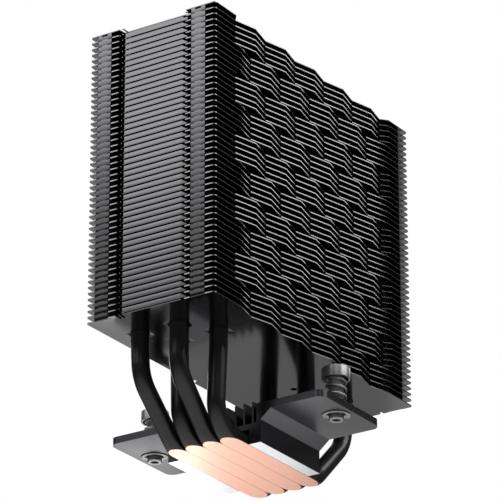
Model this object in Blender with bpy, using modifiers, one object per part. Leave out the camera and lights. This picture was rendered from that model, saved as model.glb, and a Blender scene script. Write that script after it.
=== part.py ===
"""Tower cooler for a processor: fins on four bent heat pipes, over a direct-touch base.

Frame: metres, +Z up. The origin is the middle of the contact face under the base,
X runs along the wide faces of the fins, and the zigzag front edges face -Y.
"""

import math

import bmesh
import bpy
from mathutils import Matrix, Vector

MM = 0.001

# Gap kept between solids that touch on the real cooler.
TOUCH_GAP = 0.3 * MM

# Fin stack. FIN_OFFSET_Y is the middle of the fins, which sit forward of the base.
FIN_COUNT = 50
FIN_WIDTH = 120.0 * MM
FIN_DEPTH = 49.1 * MM
FIN_THICKNESS = 0.4 * MM
FIN_PITCH = 2.065 * MM
FIN_BOTTOM_Z = 34.6 * MM
FIN_OFFSET_Y = -3.75 * MM
FINS_PER_BANK = 5

# Zigzag on the front edge. Each bank of fins starts it on the other foot.
WAVE_HALF_PERIOD = 9.0 * MM
WAVE_HALF_COUNT = 10
WAVE_DEPTH = 2.05 * MM
WAVE_STEP = 2.5 * MM
REAR_NOTCH_WIDTH = 4.0 * MM
REAR_NOTCH_DEPTH = 2.0 * MM

# Folded flange along the middle of each short side, standing up to the fin above.
FLANGE_FRONT_MARGIN = 11.9 * MM
FLANGE_REAR_MARGIN = 14.1 * MM
FLANGE_THICKNESS = 0.4 * MM
FLANGE_LAP = 0.15 * MM

# Heat pipes: round in the fins, pressed to a flat-bottomed section in the base.
PIPE_DIAMETER = 6.0 * MM
PIPE_ROW_PITCH = 7.5 * MM
PIPE_NEAR_LEG_X = 32.0 * MM
PIPE_FAR_LEG_X = 43.5 * MM
PIPE_LOWER_BEND_RADIUS = 10.0 * MM
PIPE_UPPER_BEND_RADIUS = 12.0 * MM
PIPE_SLANT = math.radians(45.0)
PIPE_FLAT_SPREAD = 0.3 * MM
PIPE_FLAT_PRESS = 1.2 * MM
PIPE_FLAT_AXIS_Z = 2.0 * MM
PIPE_ROUND_RUN = 6.4 * MM
PIPE_SETTLED_Z = 30.0 * MM
PIPE_ABOVE_FINS = 3.0 * MM
PIPE_TIP_LENGTH = 1.5 * MM
PIPE_TIP_SCALE = 0.55
PIPE_SIDES = 12
PIPE_BEND_STEPS = 4
PIPE_HOLE_CLEARANCE = 0.35 * MM
PIPE_HOLE_SIDES = 6
# Turned a little, so that no corners of two holes share a line across the fin.
PIPE_HOLE_TURN = math.radians(15.0)

# Base: one extrusion along X, with a wing front and rear and small ribs on top.
BASE_LENGTH_X = 35.2 * MM
BASE_WIDTH_Y = 35.5 * MM
BASE_FLOOR_Z = 7.0 * MM
BASE_WALL = 1.55 * MM
RIB_COUNT = 10
RIB_TOP_Z = 14.2 * MM
RIB_THICKNESS = 0.65 * MM
WING_ROOT_Z = 7.7 * MM
WING_UNDERSIDE_Z = 10.95 * MM
WING_THICKNESS = 2.45 * MM
WING_SLANT_Y = 3.9 * MM
WING_END_MARGIN = 5.95 * MM
WING_CORNER_RADIUS = 3.0 * MM
WING_CORNER_STEPS = 4

# Spring nuts: a cupped head, and a hollow shaft that ends under the wing.
NUT_SPACING_Y = 70.5 * MM
NUT_SHAFT_DIAMETER = 5.0 * MM
NUT_HEAD_UNDERSIDE_Z = 23.2 * MM
NUT_HEAD_HEIGHT = 3.7 * MM
NUT_HEAD_WALL = 0.65 * MM
NUT_HEAD_CHAMFER = 0.35 * MM
NUT_CUP_DEPTH = 1.6 * MM
NUT_CUP_CLEARANCE = 0.45 * MM
NUT_GROOVE_DEPTH = 0.5 * MM
NUT_BORE_DIAMETER = 2.5 * MM
NUT_BORE_DEPTH = 8.0 * MM
NUT_TIP_LENGTH = 0.55 * MM
NUT_TIP_CHAMFER = 0.3 * MM
NUT_HOLE_CLEARANCE = 0.4 * MM
TURNED_STEPS = 20

# Retaining clips in the nuts' grooves, and the springs between wing and head.
CLIP_THICKNESS = 0.7 * MM
CLIP_RING_CLEARANCE = 0.9 * MM
CLIP_RING_WIDTH = 1.25 * MM
CLIP_PRONG_ANGLE = math.radians(30.0)
CLIP_MOUTH_ANGLE = math.radians(84.0)
CLIP_MOUTH_AZIMUTH = math.radians(33.0)
CLIP_ARC_STEP = math.radians(20.0)
SPRING_WIRE = 0.8 * MM
SPRING_CLEARANCE = 0.3 * MM
SPRING_TURNS = 3.6
SPRING_START = math.radians(197.5)
SPRING_POINTS_PER_TURN = 12

# Sizes that follow from those above.
PIPE_RADIUS = PIPE_DIAMETER / 2
PIPE_FLAT_WIDTH = PIPE_DIAMETER + PIPE_FLAT_SPREAD
PIPE_FLAT_HEIGHT = PIPE_DIAMETER - PIPE_FLAT_PRESS
PIPE_BASE_PITCH = PIPE_FLAT_WIDTH + TOUCH_GAP
PIPE_BEND_START_X = PIPE_NEAR_LEG_X - PIPE_LOWER_BEND_RADIUS
FIN_TOP_Z = FIN_BOTTOM_Z + FIN_PITCH * (FIN_COUNT - 1) + FIN_THICKNESS
WING_TOP_Z = WING_UNDERSIDE_Z + WING_THICKNESS
WING_END_Y = NUT_SPACING_Y / 2 + WING_END_MARGIN
SHAFT_RADIUS = NUT_SHAFT_DIAMETER / 2
SPRING_RADIUS = SHAFT_RADIUS + SPRING_CLEARANCE + SPRING_WIRE / 2
CLIP_TOP_Z = WING_UNDERSIDE_Z - TOUCH_GAP
CLIP_BOTTOM_Z = CLIP_TOP_Z - CLIP_THICKNESS
NUT_CEILING_Z = NUT_HEAD_UNDERSIDE_Z + NUT_CUP_DEPTH


# Materials and helpers ----------------------------------------------------------------------

def linear(value):
    """Turn one sRGB channel, 0 to 1, into its linear value."""
    if value <= 0.04045:
        return value / 12.92
    return ((value + 0.055) / 1.055) ** 2.4


def make_material(name, hex_colour, roughness, metallic):
    """Make a Principled material from a hex colour."""
    channels = [linear(int(hex_colour[i:i + 2], 16) / 255) for i in (0, 2, 4)]
    material = bpy.data.materials.new(name)
    material.use_nodes = True
    shader = material.node_tree.nodes["Principled BSDF"]
    shader.inputs["Base Color"].default_value = (*channels, 1.0)
    shader.inputs["Roughness"].default_value = roughness
    shader.inputs["Metallic"].default_value = metallic
    return material


def make_collection(name):
    """Make a collection in the scene."""
    collection = bpy.data.collections.new(name)
    bpy.context.scene.collection.children.link(collection)
    return collection


def clear_scene():
    """Remove the objects that the script starts with."""
    for old in list(bpy.data.objects):
        bpy.data.objects.remove(old, do_unlink=True)


def move_to(obj, collection):
    """Put an object in one collection only."""
    for old in list(obj.users_collection):
        old.objects.unlink(obj)
    collection.objects.link(obj)
    return obj


def finish(obj, parts, material):
    """Keep an object as a part of the cooler, with its material."""
    move_to(obj, parts)
    obj.data.materials.append(material)
    return obj


def mesh_from(name, shape):
    """Turn a bmesh into an object, with its faces pointing out."""
    bmesh.ops.recalc_face_normals(shape, faces=shape.faces)
    mesh = bpy.data.meshes.new(name)
    shape.to_mesh(mesh)
    shape.free()
    obj = bpy.data.objects.new(name, mesh)
    bpy.context.scene.collection.objects.link(obj)
    return obj


def bake_modifiers(obj):
    """Replace an object's mesh with the one its modifiers make."""
    graph = bpy.context.evaluated_depsgraph_get()
    mesh = bpy.data.meshes.new_from_object(obj.evaluated_get(graph))
    obj.modifiers.clear()
    obj.data = mesh


def welded_mesh(curve_object):
    """Replace a curve object by a mesh object with its caps welded."""
    name = curve_object.name
    graph = bpy.context.evaluated_depsgraph_get()
    mesh = bpy.data.meshes.new_from_object(curve_object.evaluated_get(graph))
    matrix = curve_object.matrix_world.copy()
    bpy.data.objects.remove(curve_object, do_unlink=True)
    shape = bmesh.new()
    shape.from_mesh(mesh)
    bmesh.ops.remove_doubles(shape, verts=shape.verts, dist=0.01 * MM)
    obj = mesh_from(name, shape)
    obj.matrix_world = matrix
    return obj


def flat_shape(name, outlines, bottom, top):
    """Extrude closed outlines, the first outside and the rest holes, between two heights."""
    curve = bpy.data.curves.new(name, "CURVE")
    curve.dimensions = "2D"
    curve.fill_mode = "BOTH"
    curve.extrude = (top - bottom) / 2
    for outline in outlines:
        spline = curve.splines.new("POLY")
        spline.points.add(len(outline) - 1)
        for point, (x, y) in zip(spline.points, outline):
            point.co = (x, y, 0.0, 1.0)
        spline.use_cyclic_u = True
    obj = bpy.data.objects.new(name, curve)
    bpy.context.scene.collection.objects.link(obj)
    obj = welded_mesh(obj)
    obj.data.transform(Matrix.Translation((0, 0, (top + bottom) / 2)))
    return obj


def box(name, low, high):
    """A box between two corners."""
    bpy.ops.mesh.primitive_cube_add(size=1.0, location=(0, 0, 0))
    obj = bpy.context.active_object
    obj.name = name
    size = Vector(high) - Vector(low)
    middle = (Vector(high) + Vector(low)) / 2
    obj.data.transform(Matrix.Translation(middle) @ Matrix.Diagonal((*size, 1.0)))
    return obj


def combine(obj, tool, operation, cutters):
    """Join or cut an object with another one, which stays as a hidden cutter."""
    move_to(tool, cutters)
    tool.hide_render = True
    tool.display_type = "WIRE"
    modifier = obj.modifiers.new("combine", "BOOLEAN")
    modifier.operation = operation
    modifier.object = tool
    bake_modifiers(obj)


def arc(radius, start, end, step):
    """Points along an arc about the origin, both ends included."""
    count = max(1, round(abs(end - start) / step))
    angles = [start + (end - start) * k / count for k in range(count + 1)]
    return [(radius * math.cos(a), radius * math.sin(a)) for a in angles]


# Fins ---------------------------------------------------------------------------------------

def pipe_rows():
    """Each heat pipe: its name, its Y in the fins and in the base, and its two legs' X."""
    rows = []
    for k, name in enumerate(("front", "front_middle", "rear_middle", "rear")):
        step = k - 1.5
        legs = (-PIPE_FAR_LEG_X, PIPE_NEAR_LEG_X) if k % 2 else (-PIPE_NEAR_LEG_X, PIPE_FAR_LEG_X)
        rows.append((f"heat_pipe_{name}", step * PIPE_ROW_PITCH, step * PIPE_BASE_PITCH, legs))
    return rows


def fin_outlines(starts_on_peak):
    """The outline of one fin, zigzag at the front and notched at the rear, and its pipe holes."""
    half_width = FIN_WIDTH / 2
    front = FIN_OFFSET_Y - FIN_DEPTH / 2
    rear = FIN_OFFSET_Y + FIN_DEPTH / 2
    wave_end = WAVE_HALF_PERIOD * WAVE_HALF_COUNT / 2
    wave = []
    for k in range(WAVE_HALF_COUNT + 1):
        on_peak = (k % 2 == 0) == starts_on_peak
        wave.append((k * WAVE_HALF_PERIOD - wave_end, front if on_peak else front + WAVE_DEPTH))
    if not starts_on_peak:
        wave = [(-wave_end - WAVE_STEP, front), *wave, (wave_end + WAVE_STEP, front)]
    half_notch = REAR_NOTCH_WIDTH / 2
    notch = [(half_notch, rear), (0.0, rear - REAR_NOTCH_DEPTH), (-half_notch, rear)]
    outline = [(-half_width, front), *wave, (half_width, front), (half_width, rear), *notch, (-half_width, rear)]
    hole_radius = (PIPE_RADIUS + PIPE_HOLE_CLEARANCE) / math.cos(math.pi / PIPE_HOLE_SIDES)
    step = math.tau / PIPE_HOLE_SIDES
    hole = arc(hole_radius, PIPE_HOLE_TURN, PIPE_HOLE_TURN + math.tau, step)[:-1]
    holes = [
        [(leg_x + x, row_y + y) for x, y in hole]
        for _, row_y, _, legs in pipe_rows()
        for leg_x in legs
    ]
    return [outline, *holes]


def make_fin(name, starts_on_peak, flange_top, cutters):
    """One fin lying at z = 0, with the flange along each short side."""
    fin = flat_shape(name, fin_outlines(starts_on_peak), 0.0, FIN_THICKNESS)
    front = FIN_OFFSET_Y - FIN_DEPTH / 2 + FLANGE_FRONT_MARGIN
    rear = FIN_OFFSET_Y + FIN_DEPTH / 2 - FLANGE_REAR_MARGIN
    outside = FIN_WIDTH / 2
    inside = outside - FLANGE_THICKNESS
    for low_x, high_x in ((-outside, -inside), (inside, outside)):
        low = (low_x, front, FIN_THICKNESS - FLANGE_LAP)
        tool = box("flange_tool", low, (high_x, rear, flange_top))
        combine(fin, tool, "UNION", cutters)
    return fin


def make_fins(parts, cutters, material):
    """The fins as separate pieces, except the top two, which are one piece.

    The top fin has no flange of its own, so the flanges of the fin below run up into it.
    """
    meshes = {}
    for starts_on_peak in (True, False):
        pattern = make_fin("fin", starts_on_peak, FIN_PITCH - TOUCH_GAP, cutters)
        pattern.data.materials.append(material)
        meshes[starts_on_peak] = pattern.data
        bpy.data.objects.remove(pattern, do_unlink=True)
    for k in range(FIN_COUNT - 2):
        fin = bpy.data.objects.new(f"fin_{k + 1:02d}", meshes[(k // FINS_PER_BANK) % 2 == 0])
        fin.location.z = FIN_BOTTOM_Z + FIN_PITCH * k
        parts.objects.link(fin)
    on_peak = ((FIN_COUNT - 1) // FINS_PER_BANK) % 2 == 0
    pair = make_fin("top_fin_pair", on_peak, FIN_PITCH + FLANGE_LAP, cutters)
    top = flat_shape("top_fin_tool", fin_outlines(on_peak), FIN_PITCH, FIN_PITCH + FIN_THICKNESS)
    combine(pair, top, "UNION", cutters)
    pair.location.z = FIN_BOTTOM_Z + FIN_PITCH * (FIN_COUNT - 2)
    finish(pair, parts, material)


# Heat pipes ---------------------------------------------------------------------------------

def half_path(leg_x):
    """Stations from the middle of the flat to the tip: (x, z, slope angle, tip scale).

    The near leg rises in one bend. The far leg takes a slanted run between two bends.
    """
    bend = PIPE_LOWER_BEND_RADIUS
    slant = math.pi / 2 if leg_x <= PIPE_NEAR_LEG_X else PIPE_SLANT
    stations = [(0.0, PIPE_FLAT_AXIS_Z, 0.0, 1.0), (BASE_LENGTH_X / 2, PIPE_FLAT_AXIS_Z, 0.0, 1.0)]
    for k in range(PIPE_BEND_STEPS + 1):
        angle = slant * k / PIPE_BEND_STEPS
        x = PIPE_BEND_START_X + bend * math.sin(angle)
        z = PIPE_FLAT_AXIS_Z + bend * (1 - math.cos(angle))
        stations.append((x, z, angle, 1.0))
    if slant < math.pi / 2:
        upper = PIPE_UPPER_BEND_RADIUS
        low_x, low_z = stations[-1][:2]
        run_x = leg_x - upper * (1 - math.sin(slant)) - low_x
        centre_z = low_z + run_x * math.tan(slant) + upper * math.cos(slant)
        for k in range(PIPE_BEND_STEPS):
            angle = slant + (math.pi / 2 - slant) * k / (PIPE_BEND_STEPS - 1)
            x = leg_x - upper * (1 - math.sin(angle))
            stations.append((x, centre_z - upper * math.cos(angle), angle, 1.0))
    top = FIN_TOP_Z + PIPE_ABOVE_FINS
    stations.append((leg_x, PIPE_SETTLED_Z, math.pi / 2, 1.0))
    stations.append((leg_x, top - PIPE_TIP_LENGTH, math.pi / 2, 1.0))
    stations.append((leg_x, top, math.pi / 2, PIPE_TIP_SCALE))
    return stations


def pipe_section(angle, flatness):
    """One point of the pipe's section, between round (0) and pressed flat (1)."""
    across, up = math.cos(angle), math.sin(angle)
    square = math.sqrt(2)
    flat_across = max(-1.0, min(1.0, across * square)) * PIPE_FLAT_WIDTH / 2
    flat_up = up * (PIPE_FLAT_HEIGHT - PIPE_FLAT_AXIS_Z)
    if up < 0:
        flat_up = max(-1.0, up * square) * PIPE_FLAT_AXIS_Z
    return (
        PIPE_RADIUS * across * (1 - flatness) + flat_across * flatness,
        PIPE_RADIUS * up * (1 - flatness) + flat_up * flatness,
    )


def make_pipe(name, row_y, base_y, legs, parts, material):
    """One U-shaped heat pipe, lofted through its sections from one tip to the other."""
    left, right = (half_path(abs(x)) for x in legs)
    path = [(-x, z, -slope, tip) for x, z, slope, tip in reversed(left)] + right[1:]
    shape = bmesh.new()
    rings = []
    for x, z, slope, tip in path:
        rise = min(1.0, max(0.0, (z - PIPE_FLAT_AXIS_Z) / (PIPE_SETTLED_Z - PIPE_FLAT_AXIS_Z)))
        y = base_y + (row_y - base_y) * rise
        past = (abs(x) - BASE_LENGTH_X / 2) / PIPE_ROUND_RUN
        flatness = 1.0 - min(1.0, max(0.0, past))
        ring = []
        for k in range(PIPE_SIDES):
            across, up = pipe_section(math.pi / 4 + math.tau * k / PIPE_SIDES, flatness)
            corner = Vector((x - up * tip * math.sin(slope), y + across * tip, z + up * tip * math.cos(slope)))
            corner.z = max(0.0, corner.z)
            ring.append(shape.verts.new(corner))
        rings.append(ring)
    for ring, following in zip(rings, rings[1:]):
        for k in range(PIPE_SIDES):
            after = (k + 1) % PIPE_SIDES
            shape.faces.new((ring[k], ring[after], following[after], following[k]))
    shape.faces.new(rings[0])
    shape.faces.new(reversed(rings[-1]))
    finish(mesh_from(name, shape), parts, material)


# Base ---------------------------------------------------------------------------------------

def base_outline():
    """Half of the base's section is listed from the pipe channel outwards, then mirrored."""
    half = BASE_WIDTH_Y / 2
    inner = half - BASE_WALL
    channel = 1.5 * PIPE_BASE_PITCH + PIPE_FLAT_WIDTH / 2 + TOUCH_GAP
    side = [
        (channel, PIPE_FLAT_HEIGHT + TOUCH_GAP),
        (channel, 0.0),
        (half, 0.0),
        (half, WING_ROOT_Z),
        (half + WING_SLANT_Y, WING_UNDERSIDE_Z),
        (WING_END_Y, WING_UNDERSIDE_Z),
        (WING_END_Y, WING_TOP_Z),
        (inner, WING_TOP_Z),
        (inner, BASE_FLOOR_Z),
    ]
    rib_pitch = 2 * inner / RIB_COUNT
    for k in range(RIB_COUNT // 2, 0, -1):
        outer = (k - 0.5) * rib_pitch + RIB_THICKNESS / 2
        for y, z in ((outer, BASE_FLOOR_Z), (outer, RIB_TOP_Z)):
            side.append((y, z))
        for y, z in ((outer - RIB_THICKNESS, RIB_TOP_Z), (outer - RIB_THICKNESS, BASE_FLOOR_Z)):
            side.append((y, z))
    return side + [(-y, z) for y, z in reversed(side)]


def make_base(parts, cutters, material):
    """The base: its section extruded along X, its wing corners rounded and its holes cut."""
    base = flat_shape("base_block", [base_outline()], -BASE_LENGTH_X / 2, BASE_LENGTH_X / 2)
    base.data.transform(Matrix(((0, 0, 1, 0), (1, 0, 0, 0), (0, 1, 0, 0), (0, 0, 0, 1))))
    shape = bmesh.new()
    shape.from_mesh(base.data)
    corners = [
        edge for edge in shape.edges
        if all(abs(abs(v.co.y) - WING_END_Y) < TOUCH_GAP for v in edge.verts)
        and abs(edge.verts[0].co.z - edge.verts[1].co.z) > WING_THICKNESS / 2
        and abs(edge.verts[0].co.x - edge.verts[1].co.x) < TOUCH_GAP
    ]
    bmesh.ops.bevel(shape, geom=corners, offset=WING_CORNER_RADIUS, segments=WING_CORNER_STEPS,
                    profile=0.5, affect="EDGES")
    shape.to_mesh(base.data)
    shape.free()
    for side in (-1, 1):
        bpy.ops.mesh.primitive_cylinder_add(
            vertices=TURNED_STEPS, radius=SHAFT_RADIUS + NUT_HOLE_CLEARANCE, depth=3 * WING_THICKNESS,
            location=(0, side * NUT_SPACING_Y / 2, WING_UNDERSIDE_Z + WING_THICKNESS / 2))
        combine(base, bpy.context.active_object, "DIFFERENCE", cutters)
    finish(base, parts, material)


# Spring nuts, clips and springs -------------------------------------------------------------

def make_nut(name, y, parts, material):
    """A spring nut, turned about its own axis from a profile listed top to bottom."""
    cup_radius = SPRING_RADIUS + SPRING_WIRE / 2 + NUT_CUP_CLEARANCE
    head_radius = cup_radius + NUT_HEAD_WALL
    head_top = NUT_HEAD_UNDERSIDE_Z + NUT_HEAD_HEIGHT
    groove_radius = SHAFT_RADIUS - NUT_GROOVE_DEPTH
    groove_top = CLIP_TOP_Z + TOUCH_GAP
    groove_bottom = CLIP_BOTTOM_Z - TOUCH_GAP
    tip = groove_bottom - NUT_TIP_LENGTH
    bore_radius = NUT_BORE_DIAMETER / 2
    profile = [
        (0.0, head_top),
        (head_radius - NUT_HEAD_CHAMFER, head_top),
        (head_radius, head_top - NUT_HEAD_CHAMFER),
        (head_radius, NUT_HEAD_UNDERSIDE_Z),
        (cup_radius, NUT_HEAD_UNDERSIDE_Z),
        (cup_radius, NUT_CEILING_Z),
        (SHAFT_RADIUS, NUT_CEILING_Z),
        (SHAFT_RADIUS, groove_top),
        (groove_radius, groove_top),
        (groove_radius, groove_bottom),
        (SHAFT_RADIUS, groove_bottom),
        (SHAFT_RADIUS - NUT_TIP_CHAMFER, tip),
        (bore_radius, tip),
        (bore_radius, tip + NUT_BORE_DEPTH),
        (0.0, tip + NUT_BORE_DEPTH),
    ]
    mesh = bpy.data.meshes.new(name)
    edges = [(k, k + 1) for k in range(len(profile) - 1)]
    mesh.from_pydata([(r, 0.0, z) for r, z in profile], edges, [])
    nut = bpy.data.objects.new(name, mesh)
    nut.location.y = y
    bpy.context.scene.collection.objects.link(nut)
    turn = nut.modifiers.new("turn", "SCREW")
    turn.steps = TURNED_STEPS
    turn.render_steps = TURNED_STEPS
    turn.use_merge_vertices = True
    turn.merge_threshold = 0.00001
    bake_modifiers(nut)
    nut.data.shade_smooth()
    nut.data.set_sharp_from_angle(angle=math.radians(35))
    finish(nut, parts, material)


def clip_outline():
    """The retaining clip: a ring open at its mouth, with three prongs reaching inwards."""
    inside = SHAFT_RADIUS + CLIP_RING_CLEARANCE
    prong = SHAFT_RADIUS - NUT_GROOVE_DEPTH + TOUCH_GAP
    start = CLIP_MOUTH_ANGLE / 2
    end = math.tau - start
    back = math.pi - CLIP_PRONG_ANGLE / 2
    outline = arc(inside + CLIP_RING_WIDTH, start, end, CLIP_ARC_STEP)
    for radius, first, last in (
        (prong, end, end - CLIP_PRONG_ANGLE),
        (inside, end - CLIP_PRONG_ANGLE, back + CLIP_PRONG_ANGLE),
        (prong, back + CLIP_PRONG_ANGLE, back),
        (inside, back, start + CLIP_PRONG_ANGLE),
        (prong, start + CLIP_PRONG_ANGLE, start),
    ):
        outline += arc(radius, first, last, CLIP_ARC_STEP)
    return outline


def make_clip(name, y, parts, material):
    """A flat retaining clip, turned so that its mouth points at CLIP_MOUTH_AZIMUTH."""
    clip = flat_shape(name, [clip_outline()], CLIP_BOTTOM_Z, CLIP_TOP_Z)
    clip.data.transform(Matrix.Rotation(CLIP_MOUTH_AZIMUTH, 4, "Z"))
    clip.location.y = y
    finish(clip, parts, material)


def make_spring(name, y, parts, material):
    """A left-hand coil spring from the wing up into the nut's cup."""
    low = WING_TOP_Z + TOUCH_GAP + SPRING_WIRE / 2
    high = NUT_CEILING_Z - TOUCH_GAP - SPRING_WIRE / 2
    count = round(SPRING_TURNS * SPRING_POINTS_PER_TURN)
    curve = bpy.data.curves.new(name, "CURVE")
    curve.dimensions = "3D"
    curve.bevel_depth = SPRING_WIRE / 2
    curve.bevel_resolution = 2
    curve.use_fill_caps = True
    spline = curve.splines.new("POLY")
    spline.points.add(count)
    for k, point in enumerate(spline.points):
        share = k / count
        angle = SPRING_START - math.tau * SPRING_TURNS * share
        x, ring_y = SPRING_RADIUS * math.cos(angle), SPRING_RADIUS * math.sin(angle)
        point.co = (x, ring_y, low + (high - low) * share, 1.0)
    obj = bpy.data.objects.new(name, curve)
    bpy.context.scene.collection.objects.link(obj)
    spring = welded_mesh(obj)
    spring.data.shade_smooth()
    spring.location.y = y
    finish(spring, parts, material)


def main():
    """Build the cooler."""
    clear_scene()
    parts = make_collection("tower_cooler")
    cutters = make_collection("cutters")
    black_nickel = make_material("black_nickel_plate", "3a3a3c", 0.25, 1.0)
    black_anodised = make_material("black_anodised_aluminium", "1c1c1e", 0.35, 0.6)
    black_paint = make_material("black_paint_on_copper", "141415", 0.25, 0.0)
    bright_nickel = make_material("bright_nickel_plate", "b9b7b2", 0.2, 1.0)
    make_fins(parts, cutters, black_nickel)
    for name, row_y, base_y, legs in pipe_rows():
        make_pipe(name, row_y, base_y, legs, parts, black_paint)
    make_base(parts, cutters, black_anodised)
    for place, y in (("front", -NUT_SPACING_Y / 2), ("rear", NUT_SPACING_Y / 2)):
        make_nut(f"{place}_spring_nut", y, parts, bright_nickel)
        make_clip(f"{place}_retaining_clip", y, parts, bright_nickel)
        make_spring(f"{place}_spring", y, parts, bright_nickel)


main()
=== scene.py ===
# %% [markdown]
# # A tower cooler for a processor
#
# Fifty thin black fins are threaded on four bent heat pipes. The pipes come together at the
# bottom, in a small aluminium base, where their flats are machined level with it to touch the
# processor. A spring-loaded nut at each end of the base pulls the cooler down.
#
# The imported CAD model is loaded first. It gives every piece's place and size, and the bodies
# that move.

# %% Load the frame
import math
import bmesh
import bpy
from mathutils import Euler, Matrix, Vector


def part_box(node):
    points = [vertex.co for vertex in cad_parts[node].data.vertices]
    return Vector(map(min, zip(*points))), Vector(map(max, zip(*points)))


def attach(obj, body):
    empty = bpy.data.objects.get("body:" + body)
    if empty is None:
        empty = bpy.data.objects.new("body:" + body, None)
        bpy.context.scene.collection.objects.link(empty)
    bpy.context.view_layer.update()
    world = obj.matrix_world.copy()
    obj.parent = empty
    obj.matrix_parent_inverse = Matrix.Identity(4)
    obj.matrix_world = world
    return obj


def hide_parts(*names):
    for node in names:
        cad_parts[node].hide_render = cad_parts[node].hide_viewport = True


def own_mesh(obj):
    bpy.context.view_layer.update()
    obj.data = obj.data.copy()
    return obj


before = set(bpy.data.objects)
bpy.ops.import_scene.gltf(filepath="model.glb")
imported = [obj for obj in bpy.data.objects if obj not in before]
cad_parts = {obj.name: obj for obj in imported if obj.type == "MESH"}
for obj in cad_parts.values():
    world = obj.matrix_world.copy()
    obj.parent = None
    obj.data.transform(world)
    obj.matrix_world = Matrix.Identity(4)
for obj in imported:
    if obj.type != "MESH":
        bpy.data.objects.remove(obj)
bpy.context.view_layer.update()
MM = 0.001

# %% [markdown]
# ## Finishes
#
# Each finish starts from what the real one is. A metal is all reflection, so its colour is how
# much it reflects, and its roughness is how blurred that reflection is. Colours are written as
# the sRGB hex values that a paint program shows, and Blender wants linear ones, so one function
# turns them. One more adds a node with its settings and links.

# %% Colour and node helpers
def from_hex(code):
    """A linear RGBA colour from an sRGB hex code such as "8a8a8c"."""
    values = [int(code[i:i + 2], 16) / 255 for i in (0, 2, 4)]
    return (*[v / 12.92 if v <= 0.04045 else ((v + 0.055) / 1.055) ** 2.4 for v in values], 1.0)


def add_node(tree, kind, values=(), links=(), **settings):
    """Add a node, set its settings, its input values, and its links from other sockets."""
    node = tree.nodes.new(kind)
    for name, value in settings.items():
        setattr(node, name, value)
    for name, value in dict(values).items():
        node.inputs[name].default_value = value
    for name, socket in dict(links).items():
        tree.links.new(socket, node.inputs[name])
    return node


def new_finish(name, colour, metallic, roughness, **more):
    """A material with its Principled shader set, and the Object coordinates its patterns read."""
    material = bpy.data.materials.new(name)
    material.use_nodes = True
    tree = material.node_tree
    shader = tree.nodes["Principled BSDF"]
    shader.inputs["Base Color"].default_value = from_hex(colour)
    shader.inputs["Metallic"].default_value = metallic
    shader.inputs["Roughness"].default_value = roughness
    for socket, value in more.items():
        shader.inputs[socket.replace("_", " ")].default_value = value
    place = add_node(tree, "ShaderNodeTexCoord").outputs["Object"]
    return material, tree, shader, place


print("sRGB 636365 as linear values:", [round(c, 4) for c in from_hex("636365")[:3]])

# %% [markdown]
# ### Black nickel on sheet aluminium
#
# The fins are rolled aluminium strip, plated with black nickel. It is a dark mirror with a faint
# grain along the strip from the rolls, here 0.15 mm across and 12 mm long, so the noise is
# stretched along X by those two sizes. Their cut edges come out brighter, because the shear
# leaves the plating thin and polished there, so the edges have a finish of their own.

# %% Sheet and sheared edge
def rolled_grain(tree, place, along, across, strength, shader, low, high):
    """Roll lines: noise stretched along X, in the roughness and as a slight bump."""
    stretch = add_node(tree, "ShaderNodeMapping", {"Scale": (1 / along, 1 / across, 1 / across)},
                       {"Vector": place})
    grain = add_node(tree, "ShaderNodeTexNoise", {"Scale": 1.0, "Detail": 3.0, "Roughness": 0.55},
                     {"Vector": stretch.outputs["Vector"]})
    spread = add_node(tree, "ShaderNodeMapRange", {"To Min": low, "To Max": high},
                      {"Value": grain.outputs["Fac"]})
    bump = add_node(tree, "ShaderNodeBump", {"Strength": strength, "Distance": 0.01 * MM},
                    {"Height": grain.outputs["Fac"]})
    tree.links.new(spread.outputs["Result"], shader.inputs["Roughness"])
    tree.links.new(bump.outputs["Normal"], shader.inputs["Normal"])


black_nickel, tree, shader, place = new_finish("black_nickel_on_rolled_sheet", "636365", 1.0, 0.1)
rolled_grain(tree, place, 12 * MM, 0.15 * MM, 0.03, shader, 0.08, 0.14)
sheared_edge, tree, shader, place = new_finish("black_nickel_on_sheared_edge", "7c7c7e", 1.0, 0.22)
rolled_grain(tree, place, 0.6 * MM, 0.6 * MM, 0.05, shader, 0.18, 0.26)
print("made", black_nickel.name, "and", sheared_edge.name)

# %% [markdown]
# ### Black paint on copper, and the bare flats
#
# The heat pipes are copper, painted gloss black. Paint is not a metal: it reflects a little at
# every angle and more at the rims, which the shader's IOR gives. The flats are milled bare
# after painting, so they are warm copper with fine cutter lines across the pipes. The lines
# are 0.25 mm apart.

# %% Paint and copper
gloss_black, tree, shader, place = new_finish("gloss_black_paint", "121213", 0.0, 0.3,
                                              Coat_Weight=0.25, Coat_Roughness=0.2)
sprayed = add_node(tree, "ShaderNodeTexNoise", {"Scale": 1 / (1.2 * MM), "Detail": 2.0},
                   {"Vector": place})
spray_bump = add_node(tree, "ShaderNodeBump", {"Strength": 0.08, "Distance": 0.02 * MM},
                      {"Height": sprayed.outputs["Fac"]})
tree.links.new(spray_bump.outputs["Normal"], shader.inputs["Normal"])


BAND_PERIOD = 0.314  # how far apart the bands of a wave texture of scale 1 are
CUTTER_PITCH = 0.25 * MM


def cutter_lines(tree, place, shader, pitch, bump_strength, low, high):
    """Fine milled lines across the pipes, seen in the roughness and as a slight bump."""
    lines = add_node(tree, "ShaderNodeTexWave", {"Scale": BAND_PERIOD / pitch, "Distortion": 0.6,
                                                 "Detail": 2.0, "Detail Scale": 2.0},
                     {"Vector": place}, wave_type="BANDS", bands_direction="X")
    spread = add_node(tree, "ShaderNodeMapRange", {"To Min": low, "To Max": high},
                      {"Value": lines.outputs["Fac"]})
    bump = add_node(tree, "ShaderNodeBump", {"Strength": bump_strength, "Distance": 0.01 * MM},
                    {"Height": lines.outputs["Fac"]})
    tree.links.new(spread.outputs["Result"], shader.inputs["Roughness"])
    tree.links.new(bump.outputs["Normal"], shader.inputs["Normal"])


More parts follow.
